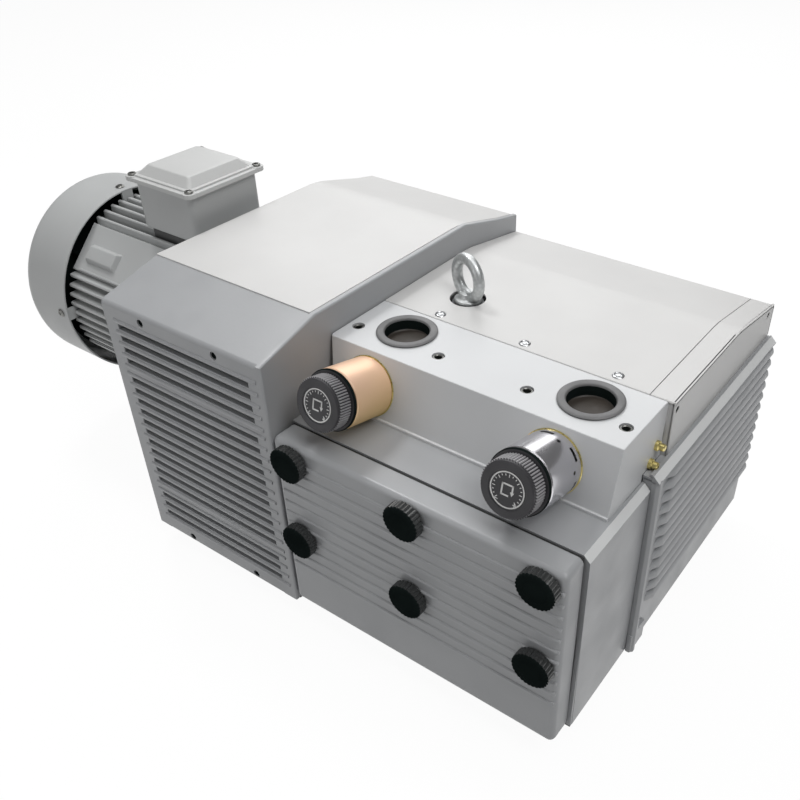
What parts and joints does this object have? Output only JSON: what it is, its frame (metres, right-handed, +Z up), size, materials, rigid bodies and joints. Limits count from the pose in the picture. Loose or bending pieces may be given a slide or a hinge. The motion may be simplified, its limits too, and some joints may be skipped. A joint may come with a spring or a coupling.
{
  "type": "dry rotary vane vacuum pump",
  "caption": "Dry rotary vane vacuum pump: slotted coupling hood with flange motor, finned filter cover with hand knobs, valve block with regulating valves and capped ports, lifting eye.",
  "frame": {"origin": "centre of the four-foot pattern, on the floor under the rubber feet", "axes": "+X along the shaft from the motor to the pump, -Y out of the filter cover, +Z up"},
  "size_m": [0.879, 0.4548, 0.406],
  "materials": {
    "cast_paint": "satin",
    "cover_paint": "satin",
    "motor_paint": "satin",
    "base_paint": "matte",
    "cast_iron": "matte",
    "steel": "brushed",
    "zinc": "satin",
    "chrome": "polished",
    "brass": "satin",
    "coppered": "satin",
    "black_plastic": "matte",
    "grey_plastic": "matte",
    "black_steel": "matte",
    "rubber": "matte",
    "filter_paper": "matte",
    "carbon": "matte",
    "coupling_red": "matte",
    "aluminium": "satin"
  },
  "bodies": {
    "cabinet": {"base_plate": "base_paint", "rubber_feet": "rubber", "hood_front": "cast_paint", "hood_top": "cover_paint", "motor_plate": "cast_paint", "bulkhead": "cast_paint", "filter_housing": "cast_paint", "filter_cartridges": "filter_paper", "pump_cylinder": "cast_iron", "end_cover_drive": "cast_iron", "end_cover_free": "cast_iron", "shaft_bearings": "steel", "top_cover": "cover_paint", "end_band": "cover_paint", "louvre_panel": "cast_paint", "rear_panel": "cast_paint", "valve_block": "cast_paint", "lifting_eye": "zinc", "brass_nipples": "brass", "black_screws": "black_steel", "bright_screws": "steel", "sleeve_left": "coppered", "sleeve_right": "chrome", "sleeve_rings": "brass", "motor_housing": "motor_paint", "motor_flange": "motor_paint", "motor_end_shield": "motor_paint", "stator_core": "cast_iron", "fan_cowl": "motor_paint", "motor_screws": "steel", "terminal_box": "motor_paint", "terminal_lid": "motor_paint", "valve_spring_left": "steel", "valve_spring_right": "steel"},
    "rotating_shaft": {"pump_rotor": "cast_iron", "pump_shaft": "steel", "coupling_hubs": "cast_iron", "coupling_insert": "coupling_red", "cooling_fan": "aluminium", "motor_rotor": "steel", "motor_fan": "black_plastic"},
    "filter_cover_body": {"filter_cover": "cast_paint"},
    "vane_body_1": {"vane_1": "carbon"},
    "vane_body_2": {"vane_2": "carbon"},
    "vane_body_3": {"vane_3": "carbon"},
    "vane_body_4": {"vane_4": "carbon"},
    "cover_knob_body_1": {"cover_knob_1": "black_plastic"},
    "cover_knob_body_2": {"cover_knob_2": "black_plastic"},
    "cover_knob_body_3": {"cover_knob_3": "black_plastic"},
    "cover_knob_body_4": {"cover_knob_4": "black_plastic"},
    "cover_knob_body_5": {"cover_knob_5": "black_plastic"},
    "cover_knob_body_6": {"cover_knob_6": "black_plastic"},
    "spring_plate_left_body": {"spring_plate_left": "steel"},
    "dial_knob_left_body": {"dial_knob_left": "grey_plastic"},
    "poppet_left_body": {"poppet_left": "brass"},
    "port_plug_left_body": {"port_plug_left": "black_plastic"},
    "spring_plate_right_body": {"spring_plate_right": "steel"},
    "dial_knob_right_body": {"dial_knob_right": "grey_plastic"},
    "poppet_right_body": {"poppet_right": "brass"},
    "port_plug_right_body": {"port_plug_right": "black_plastic"}
  },
  "joints": [
    {"name": "shaft_turn", "type": "hinge", "parent": "cabinet", "child": "rotating_shaft", "pos_m": [0.09, -0.017, 0.21], "axis": [1, 0, 0], "continuous": true},
    {"name": "vane_slide_1", "type": "slide", "parent": "rotating_shaft", "child": "vane_body_1", "axis": [0, -0.7071, 0.7071], "range_m": [0, 0.003]},
    {"name": "vane_slide_2", "type": "slide", "parent": "rotating_shaft", "child": "vane_body_2", "axis": [0, -0.7071, -0.7071], "range_m": [0, 0.003]},
    {"name": "vane_slide_3", "type": "slide", "parent": "rotating_shaft", "child": "vane_body_3", "axis": [0, 0.7071, -0.7071], "range_m": [0, 0.003]},
    {"name": "vane_slide_4", "type": "slide", "parent": "rotating_shaft", "child": "vane_body_4", "axis": [0, 0.7071, 0.7071], "range_m": [0, 0.003]},
    {"name": "cover_pull", "type": "slide", "parent": "cabinet", "child": "filter_cover_body", "axis": [0, -1, 0], "range_m": [0, 0.12]},
    {"name": "cover_knob_turn_1", "type": "hinge", "parent": "filter_cover_body", "child": "cover_knob_body_1", "pos_m": [-0.025, -0.225, 0.239], "axis": [0, -1, 0], "range_deg": [0, 5040]},
    {"name": "cover_knob_turn_2", "type": "hinge", "parent": "filter_cover_body", "child": "cover_knob_body_2", "pos_m": [0.116, -0.225, 0.239], "axis": [0, -1, 0], "range_deg": [0, 5040]},
    {"name": "cover_knob_turn_3", "type": "hinge", "parent": "filter_cover_body", "child": "cover_knob_body_3", "pos_m": [0.257, -0.225, 0.239], "axis": [0, -1, 0], "range_deg": [0, 5040]},
    {"name": "cover_knob_turn_4", "type": "hinge", "parent": "filter_cover_body", "child": "cover_knob_body_4", "pos_m": [-0.025, -0.225, 0.138], "axis": [0, -1, 0], "range_deg": [0, 5040]},
    {"name": "cover_knob_turn_5", "type": "hinge", "parent": "filter_cover_body", "child": "cover_knob_body_5", "pos_m": [0.116, -0.225, 0.138], "axis": [0, -1, 0], "range_deg": [0, 5040]},
    {"name": "cover_knob_turn_6", "type": "hinge", "parent": "filter_cover_body", "child": "cover_knob_body_6", "pos_m": [0.257, -0.225, 0.138], "axis": [0, -1, 0], "range_deg": [0, 5040]},
    {"name": "spring_plate_left_feed", "type": "slide", "parent": "cabinet", "child": "spring_plate_left_body", "axis": [0, -0.9703, 0.2419], "range_m": [0, 0.0045], "deforming": ["valve_spring_left"]},
    {"name": "dial_knob_left_turn", "type": "hinge", "parent": "spring_plate_left_body", "child": "dial_knob_left_body", "pos_m": [0.003, -0.19513, 0.305], "axis": [0, -0.9703, 0.2419], "range_deg": [0, 1080]},
    {"name": "poppet_left_lift", "type": "slide", "parent": "cabinet", "child": "poppet_left_body", "axis": [0, -0.9703, 0.2419], "range_m": [0, 0.003], "stiffness_N_per_m": 2000, "springref_m": -0.003, "deforming": ["valve_spring_left"]},
    {"name": "port_plug_left_pull", "type": "slide", "parent": "cabinet", "child": "port_plug_left_body", "axis": [0, 0, 1], "range_m": [0, 0.12]},
    {"name": "spring_plate_right_feed", "type": "slide", "parent": "cabinet", "child": "spring_plate_right_body", "axis": [0, -0.9703, 0.2419], "range_m": [0, 0.0045], "deforming": ["valve_spring_right"]},
    {"name": "dial_knob_right_turn", "type": "hinge", "parent": "spring_plate_right_body", "child": "dial_knob_right_body", "pos_m": [0.211, -0.19513, 0.305], "axis": [0, -0.9703, 0.2419], "range_deg": [0, 1080]},
    {"name": "poppet_right_lift", "type": "slide", "parent": "cabinet", "child": "poppet_right_body", "axis": [0, -0.9703, 0.2419], "range_m": [0, 0.003], "stiffness_N_per_m": 2000, "springref_m": -0.003, "deforming": ["valve_spring_right"]},
    {"name": "port_plug_right_pull", "type": "slide", "parent": "cabinet", "child": "port_plug_right_body", "axis": [0, 0, 1], "range_m": [0, 0.12]}
  ],
  "couplings": [
    {"joint": "dial_knob_left_turn", "follows": "spring_plate_left_feed", "rad_per_m": 4188.8},
    {"joint": "dial_knob_right_turn", "follows": "spring_plate_right_feed", "rad_per_m": 4188.8}
  ]
}
